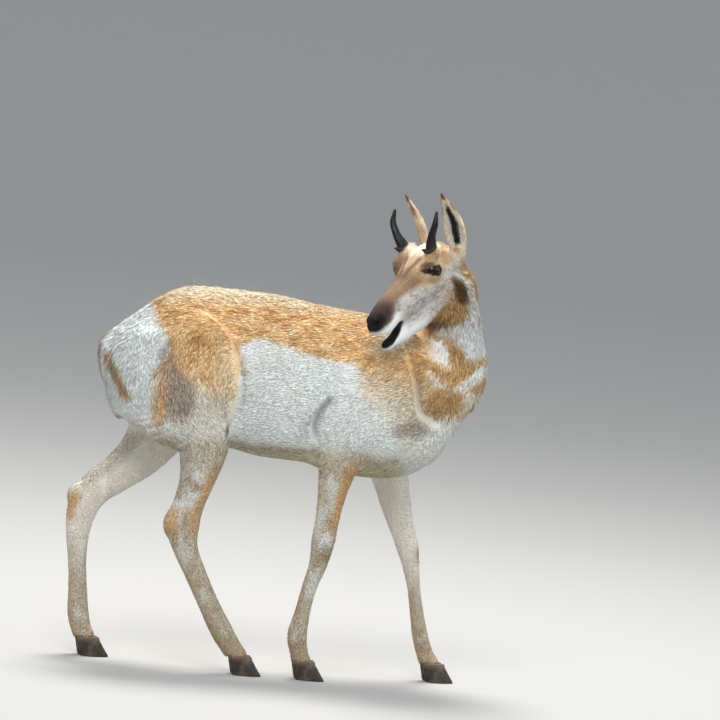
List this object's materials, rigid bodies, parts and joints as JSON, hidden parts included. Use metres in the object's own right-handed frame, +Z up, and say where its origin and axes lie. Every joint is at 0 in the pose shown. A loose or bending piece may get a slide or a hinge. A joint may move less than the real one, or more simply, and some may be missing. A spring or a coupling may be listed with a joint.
{
  "type": "pronghorn figure",
  "caption": "Life-size young male pronghorn standing on its hooves, with its head turned back over its right shoulder, short horns and a moulting tan and white coat.",
  "frame": {"origin": "on the floor, under the middle of the animal's bounding box", "axes": "+Z up, +X towards the chest, +Y towards the animal's left side"},
  "size_m": [1.0131, 0.351, 1.2179],
  "materials": {
    "tan_coat": "short tan fur, matte",
    "pale_coat": "short cream and buff fur, matte",
    "tail_coat": "brown fur, matte",
    "horn": "black horn with a soft sheen",
    "hoof": "dark hoof horn, satin",
    "eye": "dark brown, wet and glossy"
  },
  "bodies": {
    "root": {"trunk": "tan_coat", "neck": "tan_coat", "head": "pale_coat", "lower_jaw": "pale_coat", "tail": "tail_coat", "ear_left": "pale_coat", "ear_right": "pale_coat", "horn_left": "horn", "horn_right": "horn", "eye_left": "eye", "eye_right": "eye", "foreleg_left_upper": "pale_coat", "foreleg_left_lower": "pale_coat", "foreleg_right_upper": "pale_coat", "foreleg_right_lower": "pale_coat", "hind_leg_left_upper": "pale_coat", "hind_leg_left_lower": "pale_coat", "hind_leg_right_upper": "pale_coat", "hind_leg_right_lower": "pale_coat", "hoof_fore_left": "hoof", "hoof_fore_right": "hoof", "hoof_hind_left": "hoof", "hoof_hind_right": "hoof"}
  },
  "joints": []
}
